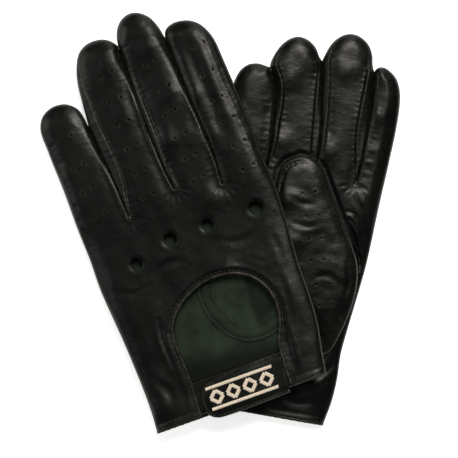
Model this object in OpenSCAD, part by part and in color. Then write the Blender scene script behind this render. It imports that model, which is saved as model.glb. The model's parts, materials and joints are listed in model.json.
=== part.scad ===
// A pair of unlined leather driving gloves, laid fanned one on the other.
// The right glove lies on its back with the palm up. The left glove lies over it, back up.
// Each glove is drawn in its own frame: X runs toward the index finger, Y toward the
// fingertips, the hem is at Y = 0 and the outer face of the palm is at Z = 0.

/* [Glove] */
// Thickness of the leather
leather = 1.2; // [1:0.1:1.3]
// Thickness of the flattened hand and fingers
hand_t = 9; // [9:0.1:10]
// Thickness of the flattened thumb
thumb_t = 6.8; // [6.6:0.1:7.2]
// Air gap between pieces that move past each other
gap = 0.3; // [0.25:0.05:0.4]
// How far the palm panel fills the forks between the fingers
palm_web = 16; // [8:1:18]

/* [Openings] */
// Radius of the round opening on the back
opening_r = 32; // [28:1:33]
// Width of the leather binding round the opening
binding_w = 2; // [1.6:0.1:2.4]
// Radius of the thumb hole
thumb_hole_r = 16; // [12:1:17]
// Radius of one finger perforation
perforation_r = 0.6; // [0.4:0.1:0.8]
// Distance between the two holes of a perforation pair
pair_gap = 7.5; // [6:0.5:9]

/* [Strap] */
// Width of the wrist strap
strap_w = 24.5; // [20:0.5:25]
// Radius of the corners of the strap's free end
strap_corner = 8; // [4:1:10]
// Thickness of the strap's outer leather
strap_t = 0.7; // [0.6:0.1:0.7]
// Thickness of the strap's lining
lining_t = 0.5; // [0.4:0.1:0.5]
// Thickness of each fastening tape
tape_t = 0.5; // [0.4:0.1:0.5]

/* [Thread] */
// Length of one stitch
stitch_l = 2.5; // [2:0.1:2.8]
// Distance from one stitch to the next
stitch_pitch = 3.5; // [3.4:0.1:4.5]
// Width of the thread
thread_w = 0.5; // [0.4:0.1:0.6]
// Height of the thread and the embroidery
thread_h = 0.3; // [0.2:0.05:0.3]

/* [Lay] */
// Turn of the left glove
left_turn = 20; // [16:1:22]
// Turn of the right glove
right_turn = -10; // [-14:1:-8]
// Rise of the left glove across its width, as an angle
left_roll = 9.65; // [9.5:0.05:10]
// Fall of the left glove from hem to fingertips, as an angle
left_pitch = 2.6; // [2.4:0.1:2.7]

/* [Hidden] */
$fn = 48;
EPS = 0.01;
// Half the side of a square larger than a glove's width, used to cut pieces off
FAR = 100;

// Fingers from little to index: [root x, tip x, y of the tip's top, width]
LEFT_FINGERS = [
    [-39.4, -41.8, 198.3, 27.4],
    [-9.6, -11.8, 227.3, 29.4],
    [20.2, 17.9, 235, 27.4],
    [48, 45.2, 220, 26.2]
];
// The right glove's fingers lie nearer to the index side, and its index finger lies on edge
RIGHT_FINGERS = [
    [-22, -25, 201.2, 23],
    [6, 0.2, 221, 27.2],
    [32.8, 30.8, 228, 26.6],
    [53.4, 55.6, 212.4, 15]
];
finger_root_y = 106;

// Edge of the hand up from the hem's little-finger corner, and down to its index corner
LITTLE_SIDE = [[-51.4, 0], [-51.5, 24], [-52.2, 47], [-53.6, 73], [-54.4, 95], [-54, 121]];
INDEX_SIDE = [[61, 119], [61.4, 93], [61, 77], [59.5, 55], [58.7, 36], [54.9, 15], [51.3, 0]];
// The right glove's little finger widens toward its root
RIGHT_LITTLE_SIDE = concat(LITTLE_SIDE, [[-50.4, 138], [-44.6, 156], [-39, 172], [-36.2, 182]]);
// Where the forks between the fingers end
LEFT_FORKS = [[-25, 123], [5.2, 129], [34, 123]];
RIGHT_FORKS = [[-10.3, 130], [18.4, 135.5], [46.1, 141]];
hem_x0 = LITTLE_SIDE[0][0];
hem_x1 = INDEX_SIDE[len(INDEX_SIDE) - 1][0];

// Thumb, folded over the palm
thumb_tip = [12.5, 137.5];
thumb_tip_r = 13.5;
thumb_base = [30, 65];
thumb_base_r = 26;
thumb_pivot = [38, 62];
// Middles of the last and of the first row of the thumb's perforations
thumb_perforations = [[40.2, 68.8], [19.2, 131.8]];
thumb_rows = 6;
thumb_row_turn = 14;

// Knuckle holes: [x, y, radius]
KNUCKLES = [[-29.4, 96.3, 4.2], [-6.1, 102.5, 4.7], [16.9, 103.5, 4.2], [46.7, 103.2, 4.7]];
// Rows of perforations along each finger from little to index, and where the first and the last row lie
finger_rows = [5, 6, 6, 6];
first_row_y = 131;
last_row_drop = 19;

// Opening on the back: a round arch that runs down into a slit at the hem
opening_at = [7.5, 43.5];
slit_x0 = -24.5;
slit_x1 = 32;

// Where the side walls of the fingers begin, and how far they run past the tips' centres
fork_y0 = 114;
fork_past_tip = 7;

// Wrist strap
strap_x0 = -20;
strap_y0 = -4;
hinge_x = slit_x1 - binding_w - gap;
strap_root_l = 12;
// The sewn-in root is this much narrower than the strap
strap_root_step = 5;
tab_x0 = -38;
tab_x1 = 8;
tab_y0 = 0.5;
tab_y1 = 24;
tab_t = 0.8;
hook_x = [-17, 5];
tape_margin = 3;
strap_top = hand_t - thread_h;
strap_bottom = strap_top - strap_t;
lining_bottom = strap_bottom - lining_t;
hook_bottom = lining_bottom - tape_t;
loop_top = hook_bottom - gap + 0.05;
loop_bottom = loop_top - tape_t;
tab_bottom = loop_bottom - tab_t;

// Embroidery on the strap: a row of diamonds between two bars
emblem_at = [5.7, 8.6];
emblem_l = 41;
emblem_h = 14;
emblem_bar = 1.6;
emblem_line = 2.1;
diamonds = 4;

// Stitching
hem_stitch_y = 3;
slit_stitch_y = 7;
groove_w = thread_w + 0.3;
edge_stitch = 1.2;
hem_roll = 1.6;

// Where each glove lies
left_at = [9.8, -104.5, 21.4];
right_at = [8.1, -108.9, 0];

BLACK = [0.09, 0.085, 0.08];
SIDE = [0.14, 0.13, 0.125];
TRIM = [0.05, 0.05, 0.05];
SUEDE = [0.16, 0.21, 0.17];
THREAD = [0.2, 0.19, 0.18];
WHITE = [0.9, 0.88, 0.82];

SIDES = ["left", "right"];
PIECES = [
    "back_panel", "palm_panel",
    "fourchette_little_ring", "fourchette_ring_middle", "fourchette_middle_index",
    "thumb_back", "thumb_front",
    "opening_binding", "wrist_binding", "fastening_tab", "loop_tape", "strap_root",
    "opening_stitching", "wrist_stitching",
    "strap", "strap_lining", "hook_tape", "strap_emblem", "strap_stitching"
];
NODES = [for (side = SIDES) for (piece = PIECES) str(side, "_", piece)];
node = "all";

// ---- places ----

function shown(side, piece) = node == "all" || node == str(side, "_", piece);

// The fingers of the glove that is being laid
function fingers() = $side == "left" ? LEFT_FINGERS : RIGHT_FINGERS;
function forks() = $side == "left" ? LEFT_FORKS : RIGHT_FORKS;
function little_side() = $side == "left" ? LITTLE_SIDE : RIGHT_LITTLE_SIDE;

// Puts a piece drawn in the glove's frame where its glove lies
module lay(side) {
    $side = side;
    if (side == "left")
        translate(left_at) rotate([0, 0, left_turn]) rotate([-left_pitch, -left_roll, 0]) children();
    else
        translate(right_at) rotate([0, 0, right_turn])
            translate([0, 0, hand_t]) mirror([0, 0, 1]) children();
}

// A flat shape lifted to one height and given a thickness
module slab(z0, z1) {
    translate([0, 0, z0]) linear_extrude(z1 - z0) children();
}

// ---- flat outlines ----

function tip_centre(f) = [f[1], f[2] - f[3] / 2];
function finger_length(f) = norm(tip_centre(f) - [f[0], finger_root_y]);
function finger_angle(f) = atan2(f[0] - f[1], tip_centre(f)[1] - finger_root_y);

module finger_outline(f) {
    translate([f[0], finger_root_y]) rotate(finger_angle(f))
        translate([-f[3] / 2, 0]) square([f[3], finger_length(f)]);
    translate(tip_centre(f)) circle(r = f[3] / 2);
}

module hand_outline(inset = 0) {
    offset(delta = -inset) {
        polygon(concat(little_side(), forks(), INDEX_SIDE));
        for (f = fingers()) finger_outline(f);
    }
}

// The space inside the hand, open at the hem
module cavity_outline() {
    hand_outline(leather);
    translate([hem_x0 + leather, -1]) square([hem_x1 - hem_x0 - 2 * leather, 2 + leather]);
}

module wall_outline() {
    difference() {
        hand_outline();
        cavity_outline();
    }
}

// Area of the fork between finger k and the next
module fork_outline(k) {
    a = fingers()[k];
    b = fingers()[k + 1];
    polygon([
        [a[0], fork_y0], [b[0], fork_y0],
        [b[1], tip_centre(b)[1] + fork_past_tip], [a[1], tip_centre(a)[1] + fork_past_tip]
    ]);
}

module opening_outline(inset) {
    offset(delta = -inset) {
        translate(opening_at) circle(r = opening_r, $fn = 96);
        translate([slit_x0, -hem_roll - 3])
            square([slit_x1 - slit_x0, opening_at[1] + hem_roll + 3]);
    }
}

module thumb_outline(inset = 0) {
    hull() {
        translate(thumb_tip) circle(r = thumb_tip_r - inset);
        translate(thumb_base) circle(r = thumb_base_r - inset);
    }
}

module strap_outline(inset = 0) {
    r = strap_corner - inset;
    x0 = strap_x0 + strap_corner;
    y0 = strap_y0 + inset;
    w = strap_w - 2 * inset;
    translate([x0, y0]) square([hinge_x - gap / 2 - x0, w]);
    translate([strap_x0 + inset, y0 + r]) square([x0 - strap_x0 - inset + EPS, w - 2 * r]);
    for (y = [y0 + r, y0 + w - r]) translate([x0, y]) circle(r = r);
}

// ---- perforations and stitches ----

// Two small holes side by side, drawn as the pins that cut them
module perforation_pair(at, turn, z0, z1) {
    translate([at[0], at[1], z0]) rotate([0, 0, turn])
        for (side = [-1, 1])
            translate([side * pair_gap / 2, 0, 0]) cylinder(r = perforation_r, h = z1 - z0);
}

module finger_perforations(f, rows) {
    last = f[2] - last_row_drop;
    for (i = [0 : rows - 1]) {
        y = first_row_y + (last - first_row_y) * i / (rows - 1);
        x = f[0] + (f[1] - f[0]) * (y - finger_root_y) / (f[2] - finger_root_y);
        perforation_pair([x, y], finger_angle(f), hand_t - leather - 1, hand_t + 1);
    }
}

function between(a, b, t) = a + (b - a) * t;

module thumb_perforation_rows() {
    bottom = -gap - thumb_t;
    for (i = [0 : thumb_rows - 1]) {
        at = between(thumb_perforations[0], thumb_perforations[1], i / (thumb_rows - 1));
        perforation_pair(at, thumb_row_turn, bottom - 1, bottom + leather + 1);
    }
}

// A straight row of stitches from point a to point b, on a face at height z
module stitch_row(a, b, z) {
    run = norm(b - a);
    count = floor(run / stitch_pitch);
    translate([a[0], a[1], z]) rotate([0, 0, atan2(b[1] - a[1], b[0] - a[0])])
        for (i = [0 : count - 1])
            translate([(i + 0.5) * run / count - stitch_l / 2, -thread_w / 2, 0])
                cube([stitch_l, thread_w, thread_h]);
}

// An arc of stitches round a centre
module stitch_arc(at, r, from, to, z) {
    count = floor(r * (to - from) * PI / 180 / stitch_pitch);
    for (i = [0 : count - 1])
        translate([at[0], at[1], z]) rotate([0, 0, from + (i + 0.5) * (to - from) / count])
            translate([r - thread_w / 2, -stitch_l / 2, 0]) cube([thread_w, stitch_l, thread_h]);
}

// How far the hem's stitches stop short of the sides and of the slit
hem_side_gap = 2;
hem_slit_gap = 3;
hem_rows_back = [
    [hem_x0 + hem_side_gap, slit_x0 - hem_slit_gap],
    [slit_x1 + hem_slit_gap, hem_x1 - hem_side_gap]
];
hem_row_palm = [hem_x0 + hem_side_gap, hem_x1 - hem_side_gap];
arc_r = opening_r + edge_stitch;
arc_ends = [-18, 180];
arc_foot_y = opening_at[1] + arc_r * sin(arc_ends[0]);

// Grooves in the back panel that its stitches lie in
module back_grooves() {
    slab(hand_t - thread_h, hand_t + 1) {
        for (row = hem_rows_back)
            translate([row[0], hem_stitch_y - groove_w / 2]) square([row[1] - row[0], groove_w]);
        difference() {
            translate(opening_at) circle(r = arc_r + groove_w / 2);
            translate(opening_at) circle(r = arc_r - groove_w / 2);
            translate([-FAR, -FAR]) square([2 * FAR, FAR + arc_foot_y]);
        }
        translate([slit_x0 - edge_stitch - groove_w / 2, slit_stitch_y - 1])
            square([groove_w, opening_at[1] - slit_stitch_y + 1]);
    }
}

// ---- pieces of the hand ----

module back_panel() {
    color(BLACK) difference() {
        union() {
            slab(hand_t - leather, hand_t) hand_outline();
            slab(leather, hand_t - leather) difference() {
                wall_outline();
                for (k = [0 : 2]) fork_outline(k);
            }
        }
        slab(hand_t - leather - EPS, hand_t + 1) opening_outline(0);
        for (k = KNUCKLES)
            translate([k[0], k[1], hand_t - leather - 1]) cylinder(r = k[2], h = leather + 2);
        for (k = [0 : 3]) finger_perforations(fingers()[k], finger_rows[k]);
        back_grooves();
    }
}

module palm_panel() {
    ridge_w = 1.2;
    ridge_h = 1.4;
    color(BLACK) difference() {
        union() {
            slab(0, leather) hand_outline();
            slab(0, leather) for (k = [0 : 2])
                intersection() {
                    fork_outline(k);
                    translate([-FAR, 0]) square([2 * FAR, forks()[k][1] + palm_web]);
                }
            translate([thumb_pivot[0], thumb_pivot[1], leather - EPS])
                cylinder(r = thumb_hole_r + ridge_w, h = ridge_h);
        }
        translate([thumb_pivot[0], thumb_pivot[1], -1]) cylinder(r = thumb_hole_r, h = hand_t);
        slab(-1, thread_h) translate([hem_row_palm[0], hem_stitch_y - groove_w / 2])
            square([hem_row_palm[1] - hem_row_palm[0], groove_w]);
    }
}

// Side walls of two neighbouring fingers and the fork between them
module fourchette(k) {
    color(SIDE) slab(leather, hand_t - leather) intersection() {
        wall_outline();
        fork_outline(k);
    }
}

module opening_binding() {
    color(TRIM) slab(hand_t - leather, hand_t) intersection() {
        difference() {
            opening_outline(0);
            opening_outline(binding_w);
        }
        translate([-FAR, 0]) square([2 * FAR, 2 * FAR]);
    }
}

// Rolled edge of the hem, open where the slit is
module wrist_binding() {
    w = hem_x1 - hem_x0;
    color(TRIM) difference() {
        translate([hem_x0, -hem_roll, 0]) cube([w, hem_roll, hand_t]);
        translate([hem_x0 + leather, -hem_roll - 1, leather])
            cube([w - 2 * leather, hem_roll + 2, hand_t - 2 * leather]);
        translate([slit_x0, -hem_roll - 1, leather + 1])
            cube([slit_x1 - slit_x0, hem_roll + 2, hand_t]);
    }
}

// Flap under the strap's free end, sewn behind the edge of the slit
module fastening_tab() {
    color(BLACK) {
        translate([tab_x0, tab_y0, tab_bottom]) cube([tab_x1 - tab_x0, tab_y1 - tab_y0, tab_t]);
        translate([tab_x0, tab_y0, loop_bottom - EPS])
            cube([slit_x0 - 1 - tab_x0, tab_y1 - tab_y0, hand_t - leather - loop_bottom + EPS]);
    }
}

module tape(x, z) {
    translate([x[0], strap_y0 + tape_margin + 2, z])
        cube([x[1] - x[0], strap_w - 2 * tape_margin - 2, tape_t]);
}

module loop_tape() {
    color(TRIM) tape(hook_x, loop_bottom);
}

// End of the strap sewn behind the edge of the slit
module strap_root() {
    color(BLACK) translate([slit_x1 - binding_w + gap, strap_y0 + strap_root_step, hand_t - 2 * leather])
        cube([strap_root_l, strap_w - strap_root_step, leather]);
}

module opening_stitching() {
    z = hand_t - thread_h;
    color(THREAD) {
        stitch_arc(opening_at, arc_r, arc_ends[0], arc_ends[1], z);
        stitch_row([slit_x0 - edge_stitch, slit_stitch_y], [slit_x0 - edge_stitch, opening_at[1]], z);
    }
}

module wrist_stitching() {
    color(THREAD) {
        for (row = hem_rows_back)
            stitch_row([row[0], hem_stitch_y], [row[1], hem_stitch_y], hand_t - thread_h);
        stitch_row([hem_row_palm[0], hem_stitch_y], [hem_row_palm[1], hem_stitch_y], 0);
    }
}

// ---- thumb ----

module thumb_back() {
    bottom = -gap - thumb_t;
    color(BLACK) difference() {
        union() {
            slab(bottom, bottom + leather) thumb_outline();
            slab(bottom + leather, -gap - leather) difference() {
                thumb_outline();
                thumb_outline(leather);
            }
        }
        thumb_perforation_rows();
    }
}

module thumb_front() {
    color(BLACK) difference() {
        slab(-gap - leather, -gap) thumb_outline();
        translate([thumb_pivot[0], thumb_pivot[1], -gap - leather - 1])
            cylinder(r = thumb_hole_r, h = leather + 2);
    }
}

// ---- strap ----

module strap() {
    color(BLACK) slab(strap_bottom, strap_top) strap_outline();
}

module strap_lining() {
    color(SUEDE) slab(lining_bottom, strap_bottom) strap_outline(0.5);
}

module hook_tape() {
    color(TRIM) tape(hook_x, hook_bottom);
}

function diamond(w, h) = [[-w / 2, 0], [0, -h / 2], [w / 2, 0], [0, h / 2]];

module strap_emblem() {
    pitch = emblem_l / diamonds;
    inner_h = emblem_h - 2 * emblem_bar - 1;
    color(WHITE) slab(strap_top, hand_t) translate(emblem_at) {
        for (y = [-1, 1])
            translate([-emblem_l / 2, y * (emblem_h - emblem_bar) / 2 - emblem_bar / 2])
                square([emblem_l, emblem_bar]);
        for (i = [0 : diamonds - 1]) translate([(i + 0.5) * pitch - emblem_l / 2, 0])
            difference() {
                polygon(diamond(pitch - 0.6, inner_h));
                polygon(diamond(pitch - 0.6 - 2 * emblem_line, inner_h - 2 * emblem_line));
            }
    }
}

module strap_stitching() {
    m = 1.6;
    r = strap_corner - m;
    x0 = strap_x0 + strap_corner;
    y0 = strap_y0 + m;
    y1 = strap_y0 + strap_w - m;
    color(THREAD) {
        for (y = [y0, y1]) stitch_row([x0, y], [hinge_x - 1, y], strap_top);
        stitch_row([x0 - r, y0 + r], [x0 - r, y1 - r], strap_top);
        stitch_arc([x0, y0 + r], r, 180, 270, strap_top);
        stitch_arc([x0, y1 - r], r, 90, 180, strap_top);
    }
}

for (side = SIDES) {
    if (shown(side, "back_panel")) lay(side) back_panel();
    if (shown(side, "palm_panel")) lay(side) palm_panel();
    if (shown(side, "fourchette_little_ring")) lay(side) fourchette(0);
    if (shown(side, "fourchette_ring_middle")) lay(side) fourchette(1);
    if (shown(side, "fourchette_middle_index")) lay(side) fourchette(2);
    if (shown(side, "thumb_back")) lay(side) thumb_back();
    if (shown(side, "thumb_front")) lay(side) thumb_front();
    if (shown(side, "opening_binding")) lay(side) opening_binding();
    if (shown(side, "wrist_binding")) lay(side) wrist_binding();
    if (shown(side, "fastening_tab")) lay(side) fastening_tab();
    if (shown(side, "loop_tape")) lay(side) loop_tape();
    if (shown(side, "strap_root")) lay(side) strap_root();
    if (shown(side, "opening_stitching")) lay(side) opening_stitching();
    if (shown(side, "wrist_stitching")) lay(side) wrist_stitching();
    if (shown(side, "strap")) lay(side) strap();
    if (shown(side, "strap_lining")) lay(side) strap_lining();
    if (shown(side, "hook_tape")) lay(side) hook_tape();
    if (shown(side, "strap_emblem")) lay(side) strap_emblem();
    if (shown(side, "strap_stitching")) lay(side) strap_stitching();
}
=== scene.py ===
import json
import math
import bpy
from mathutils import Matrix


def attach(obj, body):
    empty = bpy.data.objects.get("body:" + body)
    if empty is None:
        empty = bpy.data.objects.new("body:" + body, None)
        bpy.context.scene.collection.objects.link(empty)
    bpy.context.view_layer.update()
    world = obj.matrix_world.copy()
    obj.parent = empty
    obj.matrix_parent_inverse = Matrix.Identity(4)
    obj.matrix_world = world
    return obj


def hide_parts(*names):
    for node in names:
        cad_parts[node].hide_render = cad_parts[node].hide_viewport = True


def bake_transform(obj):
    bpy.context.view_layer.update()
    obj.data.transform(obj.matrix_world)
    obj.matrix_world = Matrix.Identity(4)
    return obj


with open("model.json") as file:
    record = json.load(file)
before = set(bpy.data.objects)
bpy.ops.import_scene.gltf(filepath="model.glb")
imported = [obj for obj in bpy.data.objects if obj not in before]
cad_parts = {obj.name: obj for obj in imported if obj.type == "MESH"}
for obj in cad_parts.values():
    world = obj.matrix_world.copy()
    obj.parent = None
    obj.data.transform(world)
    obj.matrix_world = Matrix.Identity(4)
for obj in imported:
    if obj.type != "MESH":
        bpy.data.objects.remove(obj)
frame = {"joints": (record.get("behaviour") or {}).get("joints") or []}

from types import SimpleNamespace

import bmesh
import bpy
import numpy as np
from mathutils import Vector, kdtree, noise
from mathutils.geometry import delaunay_2d_cdt

for leftover in ("Cube", "Light", "Camera"):
    if leftover in bpy.data.objects:
        bpy.data.objects.remove(bpy.data.objects[leftover])
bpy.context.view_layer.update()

# Lengths are millimetres in each glove's own frame: X runs toward the index finger, Y toward
# the fingertips, the palm's outer face lies near Z = 0 and the back's near Z = HAND_T.
MM = 0.001
HAND_T = 9.0
MID = HAND_T / 2
LEATHER = 1.0
THREAD_R = 0.22
THUMB_PIVOT = (38.0, 62.0, -0.15)
THUMB_LEATHER = 0.9
# From the part of the thumb that stays with the palm to the part that swings
THUMB_BEND = [(33, 46, -3.7), (25.5, 76, -3.7)]
# Where along a glove its hand turns into fingers
TO_FINGERS = (98, 138)
UP_FACE = {"left": "back", "right": "palm"}

# ---- outlines

# Each finger's edge, from the fork on its little-finger side round its tip to the next fork:
# the little, ring, middle and index finger
EDGES = {
    "left": [
        [(-51.6, 0), (-50.8, 12), (-50.8, 26), (-52, 54), (-54.6, 89), (-54.4, 107), (-55.1, 126),
         (-55.2, 150), (-56, 175), (-55.8, 189.5), (-52, 196.2), (-45, 199.4), (-36.8, 198.4),
         (-31, 193.2), (-29, 186)],
        [(-27.9, 187), (-27.2, 196), (-25.8, 208), (-23.2, 216.5), (-19.8, 222.8), (-15.2, 226.2),
         (-9.5, 227.3), (-3.8, 226.4), (0.8, 223.6)],
        [(4.9, 224.5), (7.2, 229.6), (11.4, 233.4), (16.5, 234.8), (21.6, 233.4), (27, 228.4), (30.3, 220)],
        [(33.4, 218.6), (39, 220.6), (47.2, 219), (52.6, 215), (55.9, 209.5), (57.9, 203), (58.7, 193),
         (59.4, 180), (60.4, 160), (61.1, 130), (62, 110.5), (60.8, 85.6), (59.3, 64.5), (58.9, 43),
         (57.8, 28.6), (55, 14), (52.5, 0)],
    ],
    "right": [
        [(-51.4, 0), (-51.5, 24), (-52.2, 47), (-53.6, 73), (-54.4, 95), (-54, 118), (-50.4, 138),
         (-44.6, 156), (-38.8, 172), (-35.8, 184), (-34.7, 190.4), (-32.4, 196), (-28.4, 199.8),
         (-23.4, 201.2), (-19, 200.8)],
        [(-16, 202.5), (-14.4, 208.6), (-11.4, 214.4), (-7.4, 218.6), (-2.6, 220.8), (3, 220),
         (8.2, 216.6), (11.8, 211)],
        [(14.6, 213), (17, 219.4), (20.2, 223.8), (24.4, 226.8), (28.6, 227.8), (33, 227), (38.4, 223.6),
         (41.8, 218), (43.2, 212)],
        [(46.4, 210.8), (50, 211.6), (54, 210), (58.6, 206), (61.7, 199), (62.9, 192), (63.3, 177),
         (62.6, 158), (61.3, 132), (59.8, 96), (58.2, 80), (55.6, 57), (54.2, 42), (54.6, 27), (53.8, 14),
         (51.2, 0)],
    ],
}
# The line of each fork between two fingers, down to its end
FORK_LINES = {
    "left": [
        [(-28.5, 181), (-26.9, 163), (-25.1, 152), (-23.8, 134), (-23.3, 122.6)],
        [(3.9, 219), (4.2, 205), (4.2, 191), (4.5, 170), (5.3, 147), (6.2, 137), (7.2, 129.6)],
        [(31.2, 214), (31.8, 200), (32.7, 184.5), (34, 167), (35, 151), (35.4, 138), (34.4, 123)],
    ],
    "right": [
        [(-15.8, 200), (-10.9, 192), (-9.2, 181), (-8.3, 166), (-7.5, 147), (-10, 130)],
        [(13.6, 209), (15.6, 198), (17.4, 186), (19.4, 175), (20.4, 163), (20.7, 150), (19, 136)],
        [(44.7, 208), (46.2, 196), (46.9, 183), (46.8, 168), (46.6, 154), (45.4, 142)],
    ],
}
# Triangles' size in the leather, and half the gap between two fingers that lie side by side
PITCH = 1.3
SLIT = 0.12

# The side strips that show beside each fork, on the finger before it and on the finger after it:
# the strip's width, and how far up the finger it is widest
HIDDEN_STRIPS = [((3, 0.5), (3, 0.5))] * 3
STRIPS = {
    ("left", "back"): [((0.9, 0.5), (7.2, 0.45)), ((1, 0.5), (3.3, 0.4)), ((0.8, 0.5), (0.9, 0.5))],
    ("right", "palm"): [((1, 0.5), (4.4, 0.7)), ((4.8, 0.35), (4.4, 0.75)), ((6.6, 0.45), (2.2, 0.8))],
}

# The round opening, from hem to hem, and the knuckle holes: middle and radius
OPENING = [
    (31.2, 0), (31.4, 10), (32.8, 25), (36.6, 34), (38.9, 43), (38.4, 53), (35, 61), (29, 67.6),
    (20.8, 71.8), (11, 73.2), (2.4, 72.2), (-5.4, 69.4), (-12, 65.6), (-17.8, 60.2), (-21.8, 53.6),
    (-23.6, 46), (-23.4, 38), (-22.8, 24), (-23.4, 10), (-24, 0),
]
KNUCKLES = [(-29.4, 95.9, 3.8), (-6.1, 102.5, 4.2), (17.2, 103.3, 3.8), (46.7, 103.1, 4.2)]


def row_between(a, b, count):
    """Evenly spaced places from a to b."""
    return list(zip(np.linspace(a[0], b[0], count), np.linspace(a[1], b[1], count)))


# Middles of the perforation pairs along each finger and the thumb
ROWS = {
    "left": [
        (-43.2, 179.3), (-41.9, 161.4), (-41.4, 146.4), (-39.8, 130), (-7.8, 206.2), (-8.3, 190),
        (-8.3, 176), (-8.4, 161), (-8.6, 146), (-9.2, 131), (18.5, 203), (20.6, 187), (19.2, 172),
        (20.4, 157.5), (21.6, 144), (21.2, 130.3), (48.2, 203), (47.5, 186), (47.4, 170), (49.5, 156.5),
        (50.6, 141.6), (51, 126.8),
    ],
    "right": (
        row_between((-26, 131), (-24, 182), 5) + row_between((4.8, 131), (1, 202), 6)
        + row_between((32.2, 131), (31, 209), 6) + row_between((53.7, 131), (55, 193), 6)
    ),
}
THUMB_ROWS = [(19.2, 131.8), (23.4, 118.8), (27.3, 106), (31, 93.7), (35.9, 80.5), (40.2, 68.8)]
# From one perforation of a pair to the other, a perforation's radius, and its raised rim's
PAIR_GAP = 7.2
PERFORATION_R = 0.58
RIM = 0.5
RIM_R = PERFORATION_R + RIM

# The thumb's outline, and the seam allowance of its hole inside the palm
THUMB_EDGE = [
    (45.6, 40.4), (51.4, 53.5), (55.3, 70), (56.1, 83.5), (54.4, 94.5), (50, 104.4), (43.9, 113),
    (39.2, 121.8), (33.8, 130.6), (29.1, 139.6), (24.6, 146.9), (18.8, 151.2), (12.1, 152.2), (5.6, 149.6),
    (0.8, 144.2), (-0.6, 136), (-0.2, 122), (1.6, 107), (3.4, 92), (4.8, 77), (7.6, 62), (13.2, 50),
    (22, 42), (33, 38),
]
THUMB_SEAM_INSIDE = [
    (-0.4, 73), (-1.2, 61), (1.5, 50), (7.6, 39.5), (16, 33), (25.4, 31.2), (34, 32.4), (44, 36.5),
    (51, 49), (54, 63), (55, 76),
]


def length_of(p):
    return np.linalg.norm(p, axis=-1)


def unit(vectors):
    return vectors / np.maximum(length_of(vectors), 1e-9)[:, None]


def run_of(path):
    """How far along its path each point is."""
    return np.r_[0, np.cumsum(length_of(np.diff(path, axis=0)))]


def at_run(path, where):
    """The places that far along a path."""
    run = run_of(path)
    return np.column_stack([np.interp(where, run, path[:, k]) for k in range(path.shape[1])])


def resample(path, step):
    """The same line as points a step apart."""
    length = run_of(path)[-1]
    return at_run(path, np.linspace(0, length, max(2, int(round(length / step)) + 1)))


def spline(points, step=1.0, closed=False):
    """A smooth curve through points, as points a step apart."""
    p = np.asarray(points, float)
    if closed:
        p = np.vstack([p[-2:], p, p[:3]])
    else:
        p = np.vstack([2 * p[0] - p[1], p, 2 * p[-1] - p[-2]])
    parts = []
    for a, b, c, d in zip(p, p[1:], p[2:], p[3:]):
        u, v, w = (math.sqrt(max(length_of(q), 1e-6)) for q in (b - a, c - b, d - c))
        start = v * ((b - a) / u - (c - a) / (u + v) + (c - b) / v)
        end = v * ((c - b) / v - (d - b) / (v + w) + (d - c) / w)
        t = np.linspace(0, 1, 12, endpoint=False)[:, None]
        h = (2 * t**3 - 3 * t**2 + 1, t**3 - 2 * t**2 + t, -2 * t**3 + 3 * t**2, t**3 - t**2)
        parts.append(h[0] * b + h[1] * start + h[2] * c + h[3] * end)
    line = np.vstack(parts[1:-1] if closed else parts + [p[-2:-1]])
    if not closed:
        return resample(line, step)
    return resample(np.vstack([line, line[:1]]), step)[:-1]


def normals_of(line):
    """Unit normals to the left of a flat line."""
    d = unit(np.gradient(line[:, :2], axis=0))
    return np.column_stack([-d[:, 1], d[:, 0]])


def smooth(t, lo, hi):
    """From 0 at lo to 1 at hi, with level ends."""
    t = np.clip((np.asarray(t, float) - lo) / (hi - lo), 0, 1)
    return t * t * (3 - 2 * t)


def nearest(p, line):
    """Distance from each point to a line, and how far along it the nearest place is."""
    a, d = line[:-1], np.diff(line, axis=0)
    size = np.maximum((d**2).sum(1), 1e-12)
    run = np.r_[0, np.cumsum(np.sqrt(size))]
    gap, along = np.empty(len(p)), np.empty(len(p))
    for i in range(0, len(p), 1500):
        rel = p[i:i + 1500, None, :] - a[None]
        t = np.clip((rel * d).sum(2) / size, 0, 1)
        far = ((rel - t[..., None] * d) ** 2).sum(2)
        k = far.argmin(1)
        rows = np.arange(len(k))
        gap[i:i + 1500] = np.sqrt(far[rows, k])
        along[i:i + 1500] = run[k] + t[rows, k] * np.sqrt(size[k])
    return gap, along


def inside(p, loop):
    """Which points lie within a closed outline."""
    a, b = loop, np.roll(loop, -1, axis=0)
    hit = np.zeros(len(p), bool)
    for i in range(0, len(p), 3000):
        x, y = p[i:i + 3000, 0:1], p[i:i + 3000, 1:2]
        spans = (a[:, 1] > y) != (b[:, 1] > y)
        rise = np.where(b[:, 1] == a[:, 1], 1, b[:, 1] - a[:, 1])
        cut = (b[:, 0] - a[:, 0]) * (y - a[:, 1]) / rise + a[:, 0]
        hit[i:i + 3000] = (spans & (x < cut)).sum(1) % 2 == 1
    return hit


def circle(count, rx=1.0, ry=1.0, lift=0.0):
    t = np.linspace(0, 2 * math.pi, count, endpoint=False)
    return np.column_stack([rx * np.cos(t), lift + ry * np.sin(t)])


def ring(x, y, r, count):
    return circle(count, r, r) + (x, y)


def apart(points, others, far):
    """The points that lie at least that far from the others."""
    tree = kdtree.KDTree(len(others))
    for i, q in enumerate(others):
        tree.insert((q[0], q[1], 0), i)
    tree.balance()
    return np.array([p for p in points if tree.find((p[0], p[1], 0))[2] >= far]).reshape(-1, 2)


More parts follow.
